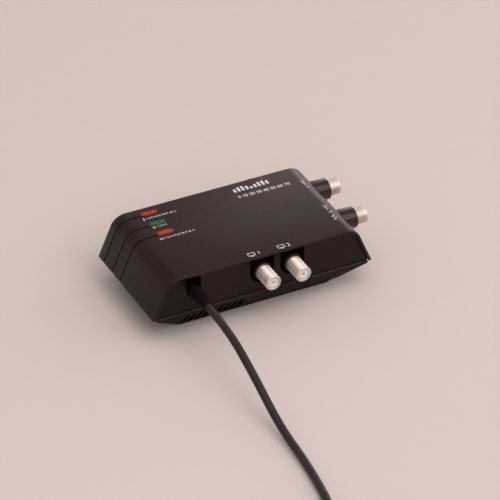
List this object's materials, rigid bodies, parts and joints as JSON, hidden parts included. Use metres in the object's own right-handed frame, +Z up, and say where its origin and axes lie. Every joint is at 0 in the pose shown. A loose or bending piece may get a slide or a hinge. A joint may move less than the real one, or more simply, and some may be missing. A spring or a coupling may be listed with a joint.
{
  "type": "tv signal amplifier",
  "caption": "Mains-powered television aerial amplifier in a black moulded housing, with threaded coaxial inputs and outputs, indicator windows and a captive cord.",
  "frame": {"origin": "middle of the base's flat underside", "axes": "+X along the housing to the end with the aerial sockets, -Y to the side with the outlets and the cord, +Z up"},
  "size_m": [0.205, 0.3741, 0.0406],
  "materials": {
    "housing_black": "fine satin moulded texture",
    "collar_black": "glossy moulded",
    "nickel_plate": "bright nickel plate, turned",
    "socket_insulator": "pale moulded dielectric",
    "contact_bronze": "tinned spring contact",
    "window_red": "clear tinted light pipe",
    "window_green": "clear tinted light pipe",
    "led_resin": "clear resin",
    "board_laminate": "solder resist on glass laminate",
    "tinplate": "tinned, rolled",
    "chip_resin": "moulded epoxy",
    "copper_wire": "enamelled",
    "ferrite": "fired, matt",
    "ceramic": "fired ceramic",
    "lamination_steel": "varnished laminations",
    "bobbin_nylon": "glass-filled nylon",
    "screw_steel": "zinc plate",
    "fuse_glass": "clear tube with plated caps",
    "capacitor_sleeve": "shrunk sleeve",
    "heatsink_aluminium": "extruded, satin",
    "lead_insulation": "insulation",
    "cord_black": "satin flexible insulation",
    "tie_nylon": "satin",
    "pin_brass": "drawn, bright"
  },
  "bodies": {
    "root": {"aerial_1_collar": "collar_black", "aerial_1_contact": "contact_bronze", "aerial_1_insulator": "socket_insulator", "aerial_1_socket": "nickel_plate", "aerial_2_collar": "collar_black", "aerial_2_contact": "contact_bronze", "aerial_2_insulator": "socket_insulator", "aerial_2_socket": "nickel_plate", "amplifier_chips": "chip_resin", "base_tray": "housing_black", "board_screws": "screw_steel", "chip_capacitors": "ceramic", "cord": "cord_black", "cord_coil": "cord_black", "cord_tail": "cord_black", "cord_tie": "tie_nylon", "cover_screws": "screw_steel", "filter_coils": "copper_wire", "front_panel": "housing_black", "fuse_clips": "tinplate", "inner_cord_end": "cord_black", "inner_cord_tie": "tie_nylon", "main_board": "board_laminate", "mains_fuse": "fuse_glass", "mains_leads": "lead_insulation", "outlet_1_collar": "collar_black", "outlet_1_contact": "contact_bronze", "outlet_1_insulator": "socket_insulator", "outlet_1_socket": "nickel_plate", "outlet_2_collar": "collar_black", "outlet_2_contact": "contact_bronze", "outlet_2_insulator": "socket_insulator", "outlet_2_socket": "nickel_plate", "plug_body": "cord_black", "plug_pins": "pin_brass", "power_led": "led_resin", "power_window": "window_green", "primary_winding": "copper_wire", "rear_panel": "housing_black", "rectifier_diodes": "chip_resin", "regulator": "chip_resin", "regulator_heatsink": "heatsink_aluminium", "screening_frame": "tinplate", "screening_lid": "tinplate", "secondary_winding": "copper_wire", "short_led": "led_resin", "short_window": "window_red", "smoothing_capacitors": "capacitor_sleeve", "splitter_cores": "ferrite", "strain_relief": "cord_black", "strap_screws": "screw_steel", "surge_arresters": "ceramic", "surge_led": "led_resin", "surge_window": "window_red", "top_cover": "housing_black", "transformer_bobbin": "bobbin_nylon", "transformer_core": "lamination_steel", "transformer_leads": "lead_insulation", "transformer_strap": "tinplate"}
  },
  "joints": []
}
